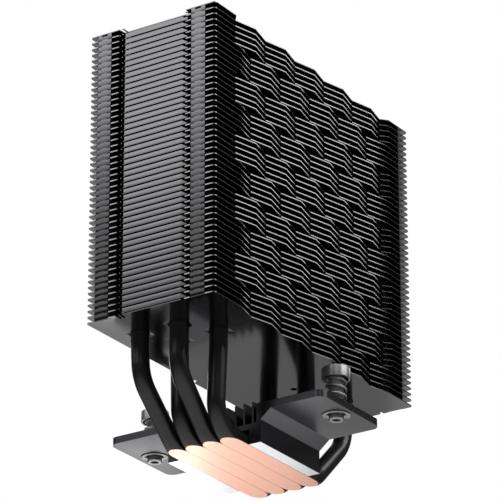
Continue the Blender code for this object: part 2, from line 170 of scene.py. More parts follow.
milled_copper, tree, shader, place = new_finish("milled_copper", "f6bba4", 1.0, 0.3)
cutter_lines(tree, place, shader, CUTTER_PITCH, 0.15, 0.24, 0.36)
print("made", gloss_black.name, "and", milled_copper.name)

# %% [markdown]
# ### Aluminium of the base, and bright nickel
#
# The base is extruded aluminium, anodised black: satin, and with a fine tooth left by the
# etching bath. Its two strips beside the pipes are milled with the copper, and are bright. The
# nuts, clips and springs are steel with nickel plate, whose shine is blurred, a little more in
# some places than in others.

# %% Base and fastener finishes
black_anodised, tree, shader, place = new_finish("black_anodised_aluminium", "66666a", 1.0, 0.22)
tooth = add_node(tree, "ShaderNodeTexNoise", {"Scale": 1 / (0.12 * MM), "Detail": 2.0},
                 {"Vector": place})
tooth_rough = add_node(tree, "ShaderNodeMapRange", {"To Min": 0.2, "To Max": 0.28},
                       {"Value": tooth.outputs["Fac"]})
tooth_bump = add_node(tree, "ShaderNodeBump", {"Strength": 0.12, "Distance": 0.01 * MM},
                      {"Height": tooth.outputs["Fac"]})
tree.links.new(tooth_rough.outputs["Result"], shader.inputs["Roughness"])
tree.links.new(tooth_bump.outputs["Normal"], shader.inputs["Normal"])
milled_aluminium, tree, shader, place = new_finish("milled_aluminium", "e8eaee", 1.0, 0.28)
cutter_lines(tree, place, shader, CUTTER_PITCH, 0.15, 0.22, 0.34)
bright_nickel, tree, shader, place = new_finish("bright_nickel_plate", "9e9e9e", 1.0, 0.36)
smudge = add_node(tree, "ShaderNodeTexNoise", {"Scale": 1 / (1.5 * MM), "Detail": 3.0},
                  {"Vector": place})
smudge_rough = add_node(tree, "ShaderNodeMapRange", {"To Min": 0.32, "To Max": 0.42},
                        {"Value": smudge.outputs["Fac"]})
tree.links.new(smudge_rough.outputs["Result"], shader.inputs["Roughness"])
finishes = (black_nickel, sheared_edge, gloss_black, milled_copper, black_anodised,
            milled_aluminium, bright_nickel)
print("finishes:", [finish.name for finish in finishes])

# %% [markdown]
# ## Tools for modelling
#
# Blender's operators act on what is selected, so every piece starts with nothing selected. In
# edit mode the vertices, edges or faces are picked in code, by where they are.

# %% Selecting
TINY = 0.01 * MM


def deselect():
    """Leave edit mode and select nothing."""
    if bpy.context.object and bpy.context.object.mode != "OBJECT":
        bpy.ops.object.mode_set(mode="OBJECT")
    bpy.ops.object.select_all(action="DESELECT")


def select_only(obj):
    """Select one object and make it active."""
    deselect()
    obj.select_set(True)
    bpy.context.view_layer.objects.active = obj
    return obj


def added(name):
    """Name the object that an operator has just added."""
    obj = bpy.context.active_object
    obj.name = name
    obj.data.name = name
    return obj


def middle(item):
    """The middle of a vertex, an edge or a face."""
    if hasattr(item, "co"):
        return item.co
    return sum((v.co for v in item.verts), Vector()) / len(item.verts)


def pick(kind, test):
    """In edit mode, select only the verts, edges or faces that pass a test."""
    mesh = bpy.context.edit_object.data
    bpy.context.tool_settings.mesh_select_mode = [kind == k for k in ("verts", "edges", "faces")]
    bpy.ops.mesh.select_all(action="DESELECT")
    shape = bmesh.from_edit_mesh(mesh)
    found = [item for item in getattr(shape, kind) if test(item)]
    for item in found:
        item.select_set(True)
    shape.select_flush_mode()
    bmesh.update_edit_mesh(mesh)
    return len(found)


def edit(obj):
    """Select one object alone and enter edit mode."""
    select_only(obj)
    bpy.ops.object.mode_set(mode="EDIT")
    return obj


def leave_edit():
    """Go back to object mode."""
    bpy.ops.object.mode_set(mode="OBJECT")


def near(a, b):
    """True if two lengths are the same, within a hundredth of a millimetre."""
    return abs(a - b) < TINY


print("one hundredth of a millimetre is", TINY, "m")

# %% Copying, applying and handing over
def copy_of(obj, name):
    """A copy of an object with a mesh of its own."""
    twin = obj.copy()
    twin.data = obj.data.copy()
    twin.name = name
    twin.data.name = name
    bpy.context.scene.collection.objects.link(twin)
    return twin


def apply_modifier(obj, kind, **settings):
    """Add a modifier with its settings and apply it."""
    select_only(obj)
    modifier = obj.modifiers.new(kind.lower(), kind)
    for name, value in settings.items():
        setattr(modifier, name, value)
    bpy.ops.object.modifier_apply(modifier=modifier.name)
    return obj


def settle(obj):
    """Move an object's place into its mesh."""
    select_only(obj)
    bpy.ops.object.transform_apply(location=True, rotation=True, scale=True)
    return obj


def cut_with(obj, cutter, operation="DIFFERENCE"):
    """Cut or join with another object, which is then removed."""
    apply_modifier(obj, "BOOLEAN", operation=operation, object=cutter, solver="EXACT")
    bpy.data.objects.remove(cutter, do_unlink=True)
    return obj


def hand_over(obj, body, slot, *nodes):
    """Let a finished piece ride on its body and stand for its CAD nodes."""
    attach(obj, body)
    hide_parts(*nodes)
    return obj


print("CAD pieces to stand for:", len(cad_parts))

# %% [markdown]
# ## Fins
#
# On the real cooler a fin is one stamped sheet. Its middle is flat, the eight pipe holes have
# collars drawn up out of the sheet, and folded strips along the short sides stand up to the fin
# above and keep the spacing. A model of a sheet is best made as a sheet: a flat grid with no
# thickness is cut, folded and drawn first, and Solidify gives it its thickness at the end. Its
# rim is then exactly the cut edge, and gets the brighter finish.

# %% Sizes read from the CAD
first_low, first_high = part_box("fin_01")
second_low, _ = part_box("fin_02")
last_low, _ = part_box("top_fin_pair")
FIN_PITCH = second_low.z - first_low.z
FIN_BOTTOM = first_low.z
FIN_COUNT = round((last_low.z - first_low.z) / FIN_PITCH) + 2
HALF_WIDTH = first_high.x
FRONT, REAR = first_low.y, first_high.y
SHEET = 0.3 * MM
print("pitch", round(FIN_PITCH / MM, 3), "mm, fins", FIN_COUNT,
      "from", round(FRONT / MM, 2), "to", round(REAR / MM, 2), "mm")

# %% Where the cuts and folds go
NOTCH_DEPTH = 2.8 * MM
FLANGES = {
    "front_lock": (FRONT + 3.9 * MM, FRONT + 9.2 * MM),
    "middle": (FRONT + 12.65 * MM, FRONT + 35.05 * MM),
    "rear_lock": (REAR - 8.35 * MM, REAR - 3.25 * MM),
}
LOCK_SLOTS = {
    "front_lock": (FRONT + 5.45 * MM, FRONT + 7.85 * MM),
    "rear_lock": (REAR - 6.95 * MM, REAR - 4.55 * MM),
}
REAR_NOTCH = FLANGES["middle"][1]
TOOTH = (REAR_NOTCH + 1.0 * MM, REAR_NOTCH + 1.4 * MM)
BAND_START = REAR_NOTCH + 2.4 * MM
NOTCHES = [(REAR_NOTCH, TOOTH[0], NOTCH_DEPTH), (TOOTH[1], BAND_START, NOTCH_DEPTH),
           (FLANGES["middle"][0] - 1.25 * MM, FLANGES["middle"][0], 1.4 * MM)]
ROWS = {"front": -11.25 * MM, "front_middle": -3.75 * MM,
        "rear_middle": 3.75 * MM, "rear": 11.25 * MM}
NEAR_LEG, FAR_LEG = 32.0 * MM, 43.5 * MM
HOLES = [(x, y) for name, y in ROWS.items()
         for x in ((-NEAR_LEG, FAR_LEG) if name in ("front", "rear_middle")
                   else (-FAR_LEG, NEAR_LEG))]
CELL = 4.0 * MM
print(len(HOLES), "pipe holes in square cells of", 2 * CELL / MM, "mm")

# %% [markdown]
# The blank is a plane, bisected at every line that something later needs: the zigzag's corners,
# the ends of the flanges and notches, and a square cell round each pipe hole. Cutting only where
# it matters keeps the sheet light, because there are fifty of them.

# %% The blank
WAVE_STEP = 9.0 * MM
WAVE_LINES = [k * WAVE_STEP for k in range(-5, 6)]
WAVE_END = 47.5 * MM
ROUND_CORNER = 1.1 * MM
BAND_RADIUS, TOOTH_RADIUS = 0.5 * MM, 0.15 * MM
NICK_HALF_WIDTH, NICK_DEPTH = 2.0 * MM, 2.0 * MM
CUT_THRESHOLD = 1e-7


def cut_line(place, normal):
    """Bisect the whole mesh that is being edited at one plane."""
    bpy.ops.mesh.select_all(action="SELECT")
    bpy.ops.mesh.bisect(plane_co=place, plane_no=normal, threshold=CUT_THRESHOLD)


deselect()
bpy.ops.mesh.primitive_plane_add(size=1.0, location=(0, (FRONT + REAR) / 2, 0))
blank = added("fin_blank")
bpy.ops.transform.resize(value=(2 * HALF_WIDTH, REAR - FRONT, 1.0))
settle(blank)
edit(blank)
x_lines = set(WAVE_LINES) | {WAVE_END, -WAVE_END, NICK_HALF_WIDTH, -NICK_HALF_WIDTH}
x_lines |= {side * (HALF_WIDTH - notch[2]) for notch in NOTCHES for side in (-1, 1)}
y_lines = {y for pair in (*FLANGES.values(), *LOCK_SLOTS.values(), *NOTCHES) for y in pair[:2]}
for x, y in HOLES:
    x_lines |= {x - CELL, x + CELL}
    y_lines |= {y - CELL, y + CELL}
for x in sorted(x_lines):
    cut_line((x, 0, 0), (1, 0, 0))
for y in sorted(y_lines):
    cut_line((0, y, 0), (0, 1, 0))
leave_edit()
print("the blank has", len(blank.data.polygons), "faces")

# %% Notches, pipe holes and the rear nick
def in_cell(face, x, y):
    """True if a face lies in the square cell round a hole."""
    m = middle(face)
    return abs(m.x - x) < CELL - TINY and abs(m.y - y) < CELL - TINY


def in_notch(face):
    """True if a face lies in one of the notches of the short sides."""
    m = middle(face)
    return any(abs(m.x) > HALF_WIDTH - depth and a < m.y < b for a, b, depth in NOTCHES)


edit(blank)
pick("faces", lambda f: in_notch(f) or any(in_cell(f, x, y) for x, y in HOLES))
bpy.ops.mesh.delete(type="FACE")
pick("verts", lambda v: near(v.co.x, 0) and near(v.co.y, REAR))
bpy.ops.transform.translate(value=(0, -NICK_DEPTH, 0))
pick("verts", lambda v: near(abs(v.co.x), HALF_WIDTH)
     and (near(v.co.y, REAR) or near(v.co.y, FRONT)))
bpy.ops.mesh.bevel(offset=ROUND_CORNER, segments=4, affect="VERTICES")
for y, radius in ((BAND_START, BAND_RADIUS), (TOOTH[0], TOOTH_RADIUS), (TOOTH[1], TOOTH_RADIUS)):
    pick("verts", lambda v: near(abs(v.co.x), HALF_WIDTH) and near(v.co.y, y))
    bpy.ops.mesh.bevel(offset=radius, segments=4, affect="VERTICES")
leave_edit()
print("cut, the blank has", len(blank.data.polygons), "faces")

# %% [markdown]
# Each pipe hole is a ring of edges. The square cell is bridged to it, and the ring is then
# extruded up and in, step by step, which draws the collar out of the sheet with a rounded root,
# as the punch does.

# %% Collars
# Radius and height in mm, from the root in the sheet to the top of the collar.
COLLAR_STEPS = [(3.4, 0.0), (3.26, 0.04), (3.16, 0.14), (3.12, 0.3), (3.12, 1.5)]
COLLAR_SIDES = 24


def on_cell_edge(edge, x, y):
    """True if an edge lies on the boundary left by a hole's cell."""
    m = middle(edge)
    inside = abs(m.x - x) < CELL + TINY and abs(m.y - y) < CELL + TINY
    return inside and edge.is_boundary and (near(abs(m.x - x), CELL) or near(abs(m.y - y), CELL))


for x, y in HOLES:
    deselect()
    radius = COLLAR_STEPS[0][0] * MM
    bpy.ops.mesh.primitive_circle_add(vertices=COLLAR_SIDES, radius=radius, location=(x, y, 0))
    ring = added("collar_ring")
    ring.select_set(True)
    blank.select_set(True)
    bpy.context.view_layer.objects.active = blank
    bpy.ops.object.join()
    edit(blank)
    pick("edges", lambda e: (middle(e).xy - Vector((x, y))).length < radius + TINY
         or on_cell_edge(e, x, y))
    bpy.ops.mesh.bridge_edge_loops()
    for (r_from, z_from), (r_to, z_to) in zip(COLLAR_STEPS, COLLAR_STEPS[1:]):
        pick("edges", lambda e: e.is_boundary and near(middle(e).z, z_from * MM)
             and (middle(e).xy - Vector((x, y))).length < r_from * MM + TINY)
        bpy.ops.mesh.extrude_edges_move(
            TRANSFORM_OT_translate={"value": (0, 0, (z_to - z_from) * MM)})
        bpy.ops.transform.resize(value=(r_to / r_from, r_to / r_from, 1),
                                 center_override=(x, y, z_to * MM))
    leave_edit()
print("with collars, the blank has", len(blank.data.polygons), "faces")

# %% [markdown]
# The short sides have three flanges. The long one in the middle is folded down, to stand on the
# fin below, and its front end is cut at a slant. The two short ones are folded up. They are the
# locks: each has a slot in its top, and a tab of the next fin hangs down into it and keeps the
# two together. Extruding the side's edges makes a flange, and a small bevel rounds its fold.
# The lowest fin has only the locks, because there is nothing under it to stand on. The topmost
# has no flanges at all, and is cut back in the middle instead.

# %% Flanges
FOLD_RADIUS = 0.25 * MM
INNER_FOLD_RADIUS = 0.1 * MM
MIDDLE_DROP = 1.42 * MM
MIDDLE_SLANT = 2.25 * MM
LOCK_TOP = FIN_PITCH - 0.06 * MM
SLOT_TOP = FIN_PITCH - 0.72 * MM
TAB_DROP = 0.66 * MM


def between(value, pair):
    """True if a value lies between a pair's two."""
    return pair[0] - TINY < value < pair[1] + TINY


def is_side_edge(edge, pair, side_x):
    """True if an edge lies on a short side, between two values of Y, at the sheet's level."""
    m = middle(edge)
    return (near(abs(m.x), side_x) and near(m.z, 0) and between(m.y, pair)
            and near(edge.verts[0].co.x, edge.verts[1].co.x))


def fold(pair, side_x, height):
    """Extrude the side edges between two values of Y to a height, or to a depth."""
    pick("edges", lambda e: is_side_edge(e, pair, side_x) and e.is_boundary)
    bpy.ops.mesh.extrude_edges_move(TRANSFORM_OT_translate={"value": (0, 0, height)})


def grow_top(pair, slot):
    """Extrude a lock's top edges on to its full height, except in its slot."""
    pick("edges", lambda e: e.is_boundary and near(e.verts[0].co.z, SLOT_TOP)
         and near(e.verts[1].co.z, SLOT_TOP) and between(middle(e).y, pair)
         and not between(middle(e).y, slot))
    bpy.ops.mesh.extrude_edges_move(TRANSFORM_OT_translate={"value": (0, 0, LOCK_TOP - SLOT_TOP)})


def add_flanges(sheet, with_middle=True):
    """Fold the flanges of a fin and round the folds."""
    edit(sheet)
    inside = HALF_WIDTH - SHEET
    if with_middle:
        for side in (-1, 1):
            pick("verts", lambda v: near(v.co.x, side * HALF_WIDTH)
                 and between(v.co.y, FLANGES["middle"]))
            bpy.ops.transform.translate(value=(-side * SHEET, 0, 0))
        fold(FLANGES["middle"], inside, -MIDDLE_DROP)
        pick("verts", lambda v: near(v.co.z, -MIDDLE_DROP) and near(v.co.y, FLANGES["middle"][0]))
        bpy.ops.transform.translate(value=(0, -MIDDLE_SLANT, 0))
    for name, slot in LOCK_SLOTS.items():
        fold(FLANGES[name], HALF_WIDTH, SLOT_TOP)
        grow_top(FLANGES[name], slot)
    for side_x, radius in ((HALF_WIDTH, FOLD_RADIUS), (inside, INNER_FOLD_RADIUS)):
        pick("edges", lambda e: near(abs(middle(e).x), side_x) and near(middle(e).z, 0)
             and not e.is_boundary and near(e.verts[0].co.z, e.verts[1].co.z)
             and near(e.verts[0].co.x, e.verts[1].co.x))
        bpy.ops.mesh.bevel(offset=radius, segments=4, affect="EDGES")
    leave_edit()


folded = copy_of(blank, "folded_fin")
add_flanges(folded)
lowest_fin = copy_of(blank, "sheet_01")
add_flanges(lowest_fin, with_middle=False)
print("folded, a fin has", len(folded.data.polygons), "faces")

# %% Zigzag front edge and thickness
WAVE_DEPTH = 2.05 * MM


def wave(x, starts_on_peak):
    """How far back the front edge is at x, from 0 at a peak to 1 in a valley."""
    share = (WAVE_LINES[-1] - abs(x)) / WAVE_STEP
    if share < 0:
        return 0.0 if starts_on_peak else max(0.0, (WAVE_END - abs(x)) / (WAVE_END - WAVE_LINES[-1]))
    share = 1 - abs(share % 2 - 1)
    return share if starts_on_peak else 1 - share


def zigzag(sheet, starts_on_peak):
    """Push the front edge back, most at every other line. The peaks stay where they are."""
    edit(sheet)
    places = {round(v.co.x, 6) for v in sheet.data.vertices if near(v.co.y, FRONT)}
    for x in places:
        pick("verts", lambda v: near(v.co.y, FRONT) and near(v.co.x, x))
        bpy.ops.transform.translate(value=(0, WAVE_DEPTH * wave(x, starts_on_peak), 0))
    leave_edit()


def as_sheet(sheet):
    """Give the sheet its thickness, upwards and inwards, with the cut edges in their finish."""
    edit(sheet)
    bpy.ops.mesh.select_all(action="SELECT")
    bpy.ops.mesh.remove_doubles(threshold=TINY / 10)
    bpy.ops.mesh.normals_make_consistent(inside=False)
    leave_edit()
    flat = max(sheet.data.polygons, key=lambda f: f.area)
    if flat.normal.z > 0:
        edit(sheet)
        bpy.ops.mesh.select_all(action="SELECT")
        bpy.ops.mesh.flip_normals()
        leave_edit()
    sheet.data.materials.clear()
    sheet.data.materials.append(black_nickel)
    sheet.data.materials.append(sheared_edge)
    apply_modifier(sheet, "SOLIDIFY", thickness=SHEET, offset=-1.0, use_even_offset=True,
                   use_rim=True, material_offset_rim=1)
    select_only(sheet)
    bpy.ops.object.shade_smooth_by_angle(angle=math.radians(24))
    return sheet


patterns = {}
for on_peak in (True, False):
    patterns[on_peak] = copy_of(folded, f"fin_pattern_{int(on_peak)}")
    zigzag(patterns[on_peak], on_peak)
    as_sheet(patterns[on_peak])
zigzag(lowest_fin, True)
as_sheet(lowest_fin)
print("finished, a fin has", len(patterns[True].data.polygons), "faces")

# %% [markdown]
# The fins go up in banks of five, and each bank starts its zigzag on the other foot. The lowest
# one has a small locating hole and no tabs, and the topmost has no tabs either.

# %% The stack
BANK = 5
TOP_SLANT = 1.75 * MM
LOCATING_HOLE, LOCATING_RADIUS = (24.3 * MM, -3.7 * MM, 0), 1.15 * MM


def hang_tabs(sheet):
    """Join on the four tabs that reach down into the slots of the fin below."""
    for side in (-1, 1):
        for low_y, high_y in LOCK_SLOTS.values():
            deselect()
            bpy.ops.mesh.primitive_cube_add(size=1.0, location=(
                side * (HALF_WIDTH - SHEET / 2), (low_y + high_y) / 2, (FOLD_RADIUS - TAB_DROP) / 2))
            tab = added("tab")
            bpy.ops.transform.resize(value=(SHEET, high_y - low_y, FOLD_RADIUS + TAB_DROP))
            tab.data.materials.append(black_nickel)
            settle(tab)
            sheet.select_set(True)
            bpy.context.view_layer.objects.active = sheet
            bpy.ops.object.join()


def fin_starts_on_peak(k):
    """Whether fin number k, from 0, belongs to a bank that starts on a peak."""
    return (k // BANK) % 2 == 0


top_fin = copy_of(blank, "sheet_50")
edit(top_fin)
pick("faces", lambda f: abs(middle(f).x) > HALF_WIDTH - NOTCH_DEPTH
     and between(middle(f).y, FLANGES["middle"]))
bpy.ops.mesh.delete(type="FACE")
pick("verts", lambda v: near(abs(v.co.x), HALF_WIDTH - NOTCH_DEPTH)
     and near(v.co.y, FLANGES["middle"][0]))
bpy.ops.transform.translate(value=(0, -TOP_SLANT, 0))
leave_edit()
zigzag(top_fin, fin_starts_on_peak(FIN_COUNT - 1))
as_sheet(top_fin)
for pattern in patterns.values():
    hang_tabs(pattern)
fins = [lowest_fin]
fins += [copy_of(patterns[fin_starts_on_peak(k)], f"sheet_{k + 1:02d}")
         for k in range(1, FIN_COUNT - 1)]
fins += [top_fin]
deselect()
bpy.ops.mesh.primitive_cylinder_add(vertices=20, radius=LOCATING_RADIUS, depth=2 * MM,
                                    location=LOCATING_HOLE)
cut_with(fins[0], added("locating_hole"))
for k, fin in enumerate(fins):
    fin.location.z = FIN_BOTTOM + k * FIN_PITCH
deselect()
for fin in fins:
    fin.select_set(True)
bpy.context.view_layer.objects.active = fins[0]
bpy.ops.object.transform_apply(location=True, rotation=False, scale=False)
for k, fin in enumerate(fins):
    hand_over(fin, "cooler", "fins", f"fin_{k + 1:02d}" if k < FIN_COUNT - 2 else "top_fin_pair")
for old in (blank, folded, *patterns.values()):
    bpy.data.objects.remove(old, do_unlink=True)
print(len(fins), "fins, each about", len(fins[3].data.polygons), "faces")

# %% [markdown]
# ## Heat pipes
#
# A heat pipe is a copper tube of 6 mm. It was bent round formers and pressed a little flat where
# it lies in the base. Here a circle is extruded and spun along the same path, from the middle of
# the flat to each tip. All four have one leg near the middle and one further out, and
# neighbours are turned half round, so the legs are staggered in the fins.

# %% Path sizes
PIPE_RADIUS = 3.0 * MM
PIPE_AXIS = 2.0 * MM
PIPE_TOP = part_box("heat_pipe_front")[1].z
BEND_START = 22.0 * MM
LOWER_BEND, UPPER_BEND = 10.0 * MM, 12.0 * MM
SLANT, UPRIGHT = math.radians(45), math.radians(90)
PIPE_SIDES = 32
STEP_ANGLE = 3
FLAT_END = 17.6 * MM
SETTLED = 30.0 * MM
TIP_HEIGHT = 2.2 * MM
TIP_ANGLES = (0, 30, 55, 75)
print("the pipes' tips are at", round(PIPE_TOP / MM, 1), "mm")


# %% Bending one pipe
def run_on(dx, dz, pieces=1):
    """Extrude the selected ring straight, in equal pieces."""
    for _ in range(pieces):
        bpy.ops.mesh.extrude_edges_move(
            TRANSFORM_OT_translate={"value": (dx / pieces, 0, dz / pieces)})


def bend(side, centre, angle, steps):
    """Spin the selected ring about an axis across the pipe."""
    bpy.ops.mesh.spin(steps=steps, angle=side * angle, center=centre, axis=(0, 1, 0))


def add_leg(side, leg_x):
    """From the ring at the middle of the flat, run out and bend up to a tip."""
    run_on(side * FLAT_END, 0, 2)
    run_on(side * (BEND_START - FLAT_END), 0, 5)
    turn = UPRIGHT if leg_x < FAR_LEG - TINY else SLANT
    bend(side, (side * BEND_START, 0, PIPE_AXIS + LOWER_BEND), turn,
         round(math.degrees(turn) / STEP_ANGLE))
    x = BEND_START + LOWER_BEND * math.sin(turn)
    z = PIPE_AXIS + LOWER_BEND * (1 - math.cos(turn))
    if turn == SLANT:
        run_x = leg_x - UPPER_BEND * (1 - math.sin(turn)) - x
        run_on(side * run_x, run_x * math.tan(turn), 3)
        z += run_x * math.tan(turn)
        z += UPPER_BEND * math.cos(turn)
        bend(side, (side * (leg_x - UPPER_BEND), 0, z), UPRIGHT - turn, 12)
    shoulder = PIPE_TOP - TIP_HEIGHT
    run_on(0, SETTLED - z, 4)
    run_on(0, shoulder - SETTLED, 6)
    for before, share in zip(TIP_ANGLES, TIP_ANGLES[1:]):
        run_on(0, TIP_HEIGHT * (math.sin(math.radians(share)) - math.sin(math.radians(before))))
        shrink = math.cos(math.radians(share)) / math.cos(math.radians(before))
        bpy.ops.transform.resize(value=(shrink, shrink, 1),
                                 center_override=(side * leg_x, 0, PIPE_TOP))
    bpy.ops.mesh.edge_face_add()


deselect()
bpy.ops.mesh.primitive_circle_add(vertices=PIPE_SIDES, radius=PIPE_RADIUS,
                                  location=(0, 0, PIPE_AXIS), rotation=(0, math.radians(90), 0))
bent_pipe = settle(added("bent_pipe"))
edit(bent_pipe)
pick("edges", lambda e: True)
add_leg(-1, NEAR_LEG)
pick("edges", lambda e: near(e.verts[0].co.x, 0) and near(e.verts[1].co.x, 0) and e.is_boundary)
add_leg(1, FAR_LEG)
bpy.ops.mesh.select_all(action="SELECT")
bpy.ops.mesh.normals_make_consistent(inside=False)
leave_edit()
size = [max(v.co[i] for v in bent_pipe.data.vertices) - min(v.co[i] for v in bent_pipe.data.vertices)
        for i in range(3)]
print("the bent pipe measures", [round(s / MM, 1) for s in size], "mm")

# %% [markdown]
# In the base the pipe is pressed until its underside is as wide as the pipe and its sides stand
# upright. The press fades out where the pipe leaves the base. After that the mill takes
# everything below the contact face away: a bisect does the same, and fills the cut with one
# flat face, which is the bare copper. Its ends come out as long ovals, because the cut runs out
# through the bend.

# %% Pressing and milling
FLAT_HALF_WIDTH = 3.24 * MM
PRESS_START, PRESS_END = 21.0 * MM, 31.5 * MM
UNDERSIDE_SPREAD = 1.55
TOP_SINK = 0.06


def smooth_step(share):
    """0 to 1 with a soft start and end."""
    share = min(1.0, max(0.0, share))
    return share * share * (3 - 2 * share)


def pressed(point):
    """Where a point of the round pipe goes when it is pressed in the base."""
    past = abs(point.x) - BEND_START
    axis_z = PIPE_AXIS
    if past > 0:
        axis_z += LOWER_BEND - math.sqrt(max(0.0, LOWER_BEND ** 2 - min(past, LOWER_BEND) ** 2))
    if abs(point.x) > PRESS_END or point.z > axis_z + PIPE_RADIUS + TINY:
        return point
    press = 1 - smooth_step((abs(point.x) - PRESS_START) / (PRESS_END - PRESS_START))
    across, up = point.y, point.z - axis_z
    if up < 0:
        wide = max(-1.0, min(1.0, across / PIPE_RADIUS * UNDERSIDE_SPREAD)) * FLAT_HALF_WIDTH
    else:
        wide = across / PIPE_RADIUS * FLAT_HALF_WIDTH
    sunk = max(0.0, up) * TOP_SINK * press
    return Vector((point.x, across + (wide - across) * press, point.z - sunk))


for vertex in bent_pipe.data.vertices:
    vertex.co = pressed(vertex.co)
bent_pipe.data.materials.append(gloss_black)
bent_pipe.data.materials.append(milled_copper)
edit(bent_pipe)
bpy.ops.mesh.select_all(action="SELECT")
bpy.ops.mesh.bisect(plane_co=(0, 0, 0), plane_no=(0, 0, 1), use_fill=True, clear_inner=True,
                    threshold=CUT_THRESHOLD)
leave_edit()
for face in bent_pipe.data.polygons:
    face.material_index = int(face.normal.z < -0.99 and face.center.z < TINY)
select_only(bent_pipe)
bpy.ops.object.shade_smooth_by_angle(angle=math.radians(35))
edit(bent_pipe)
pick("faces", lambda f: f.material_index == 1)
bpy.ops.mesh.faces_shade_flat()
leave_edit()
print("milled, the pipe has", len(bent_pipe.data.polygons), "faces,",
      sum(f.material_index for f in bent_pipe.data.polygons), "of them bare copper")

# %% Four pipes
BASE_ROWS = {"front": -9.9 * MM, "front_middle": -3.3 * MM,
             "rear_middle": 3.3 * MM, "rear": 9.9 * MM}
for name, row_y in ROWS.items():
    pipe = copy_of(bent_pipe, f"{name}_pipe")
    if name in ("front_middle", "rear"):
        pipe.rotation_euler.z = math.radians(180)
        settle(pipe)
    for vertex in pipe.data.vertices:
        rise = min(1.0, max(0.0, (vertex.co.z - PIPE_AXIS) / (SETTLED - PIPE_AXIS)))
        vertex.co.y += BASE_ROWS[name] + (row_y - BASE_ROWS[name]) * rise
    hand_over(pipe, "cooler", "pipes", f"heat_pipe_{name}")
bpy.data.objects.remove(bent_pipe, do_unlink=True)

# %% [markdown]
# ## Base
#
# The base is one extrusion: a block with a wing on each side and thin ribs on top. A cube is
# bisected where the wings join it, the wing's side faces are extruded out, and their lower edge
# is moved up to make the slanted underside. The ribs are one thin box, repeated, and joined.

# %% Block and wings
_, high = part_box("base_block")
HALF_X = high.x
WING_Y = high.y
RIB_TOP = high.z
HALF_Y = 17.75 * MM
WING_ROOT, WING_UNDER, WING_TOP = 7.7 * MM, 10.95 * MM, 13.4 * MM
SLANT_RUN = 3.9 * MM
FLOOR = 7.0 * MM
WALL = 1.55 * MM
WING_CORNER = 3.0 * MM
deselect()
bpy.ops.mesh.primitive_cube_add(size=1.0, location=(0, 0, WING_TOP / 2))
base = added("base")
bpy.ops.transform.resize(value=(2 * HALF_X, 2 * HALF_Y, WING_TOP))
settle(base)
edit(base)
cut_line((0, 0, WING_ROOT), (0, 0, 1))
for side in (-1, 1):
    pick("faces", lambda f: near(middle(f).y, side * HALF_Y) and middle(f).z > WING_ROOT)
    bpy.ops.mesh.extrude_region_move(TRANSFORM_OT_translate={"value": (0, side * SLANT_RUN, 0)})
    pick("verts", lambda v: near(v.co.y, side * (HALF_Y + SLANT_RUN)) and near(v.co.z, WING_ROOT))
    bpy.ops.transform.translate(value=(0, 0, WING_UNDER - WING_ROOT))
    pick("faces", lambda f: near(middle(f).y, side * (HALF_Y + SLANT_RUN))
         and abs(f.normal.y) > 0.9)
    bpy.ops.mesh.extrude_region_move(
        TRANSFORM_OT_translate={"value": (0, side * (WING_Y - HALF_Y - SLANT_RUN), 0)})
pick("edges", lambda e: near(abs(middle(e).y), WING_Y) and near(e.verts[0].co.x, e.verts[1].co.x))
bpy.ops.mesh.bevel(offset=WING_CORNER, segments=8, affect="EDGES")
leave_edit()
print("the block and its wings have", len(base.data.polygons), "faces")

# %% Ribs, channel and holes
RIB_PITCH = 3.3 * MM
RIB_THICK = 0.65 * MM
RIB_COUNT = 10
deselect()
bpy.ops.mesh.primitive_cube_add(size=1.0, location=(0, 0, (FLOOR + RIB_TOP + MM) / 2))
trough = added("rib_trough")
bpy.ops.transform.resize(value=(3 * HALF_X, 2 * (HALF_Y - WALL), RIB_TOP + MM - FLOOR))
settle(trough)
cut_with(base, trough)
for k in range(RIB_COUNT):
    deselect()
    y = (k - (RIB_COUNT - 1) / 2) * RIB_PITCH
    bpy.ops.mesh.primitive_cube_add(size=1.0, location=(0, y, (RIB_TOP + FLOOR - MM) / 2))
    rib = added(f"rib_{k}")
    bpy.ops.transform.resize(value=(2 * HALF_X, RIB_THICK, RIB_TOP - FLOOR + MM))
    settle(rib)
    cut_with(base, rib, "UNION")
CHANNEL = 13.3 * MM
CHANNEL_TOP = 5.1 * MM
deselect()
bpy.ops.mesh.primitive_cube_add(size=1.0, location=(0, 0, CHANNEL_TOP / 2 - MM))
channel = added("pipe_channel")
bpy.ops.transform.resize(value=(3 * HALF_X, 2 * CHANNEL, CHANNEL_TOP + 2 * MM))
settle(channel)
cut_with(base, channel)
NUT_Y = 35.25 * MM
HOLE_RADIUS = 2.9 * MM
SPOT_RADIUS, SPOT_DEPTH = 4.0 * MM, 0.05 * MM
for side in (-1, 1):
    deselect()
    bpy.ops.mesh.primitive_cylinder_add(vertices=48, radius=HOLE_RADIUS, depth=12 * MM,
                                        location=(0, side * NUT_Y, WING_TOP))
    cut_with(base, added("nut_hole"))
    deselect()
    bpy.ops.mesh.primitive_cylinder_add(vertices=48, radius=SPOT_RADIUS, depth=2 * SPOT_DEPTH,
                                        location=(0, side * NUT_Y, WING_UNDER))
    cut_with(base, added("spot_face"))
print("the base has", len(base.data.polygons), "faces")

# %% [markdown]
# A real edge is never perfectly sharp: a small bevel lets it catch a line of light. The faces
# that the mill has touched, under the block and round the nuts' holes, get the bright finish.

